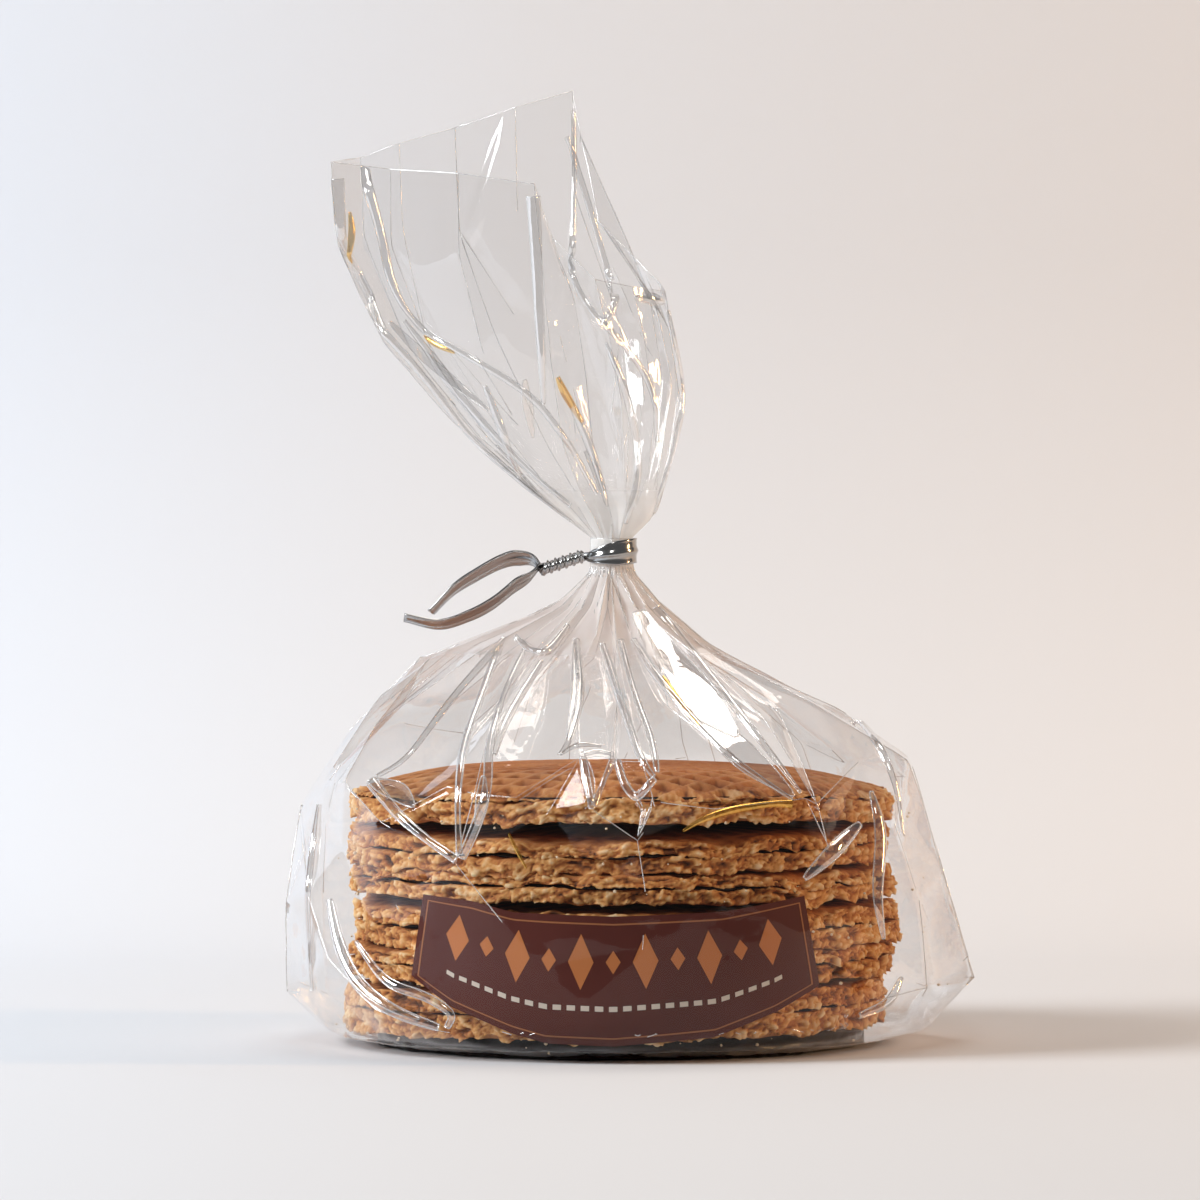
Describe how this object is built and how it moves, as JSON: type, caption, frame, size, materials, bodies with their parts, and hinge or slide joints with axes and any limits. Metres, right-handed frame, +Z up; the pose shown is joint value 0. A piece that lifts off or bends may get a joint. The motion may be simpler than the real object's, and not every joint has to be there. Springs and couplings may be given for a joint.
{
  "type": "tied clear bag of stroopwafels",
  "caption": "Clear film bag holding a stack of round syrup waffles, gathered and closed by a foil twist tie, with a curved label on its front.",
  "frame": {"origin": "on the floor under the middle of the waffle stack", "axes": "+Z up, through the bag's neck; -Y towards the label; +X to the right as the label is faced"},
  "size_m": [0.1085, 0.0957, 0.1547],
  "materials": {
    "clear_film_over_biscuit": "gloss",
    "label_brown": "satin",
    "foil_strip": "polished"
  },
  "bodies": {
    "root": {"filled_bag": "clear_film_over_biscuit", "label": "label_brown", "twist_tie": "foil_strip"}
  },
  "joints": []
}
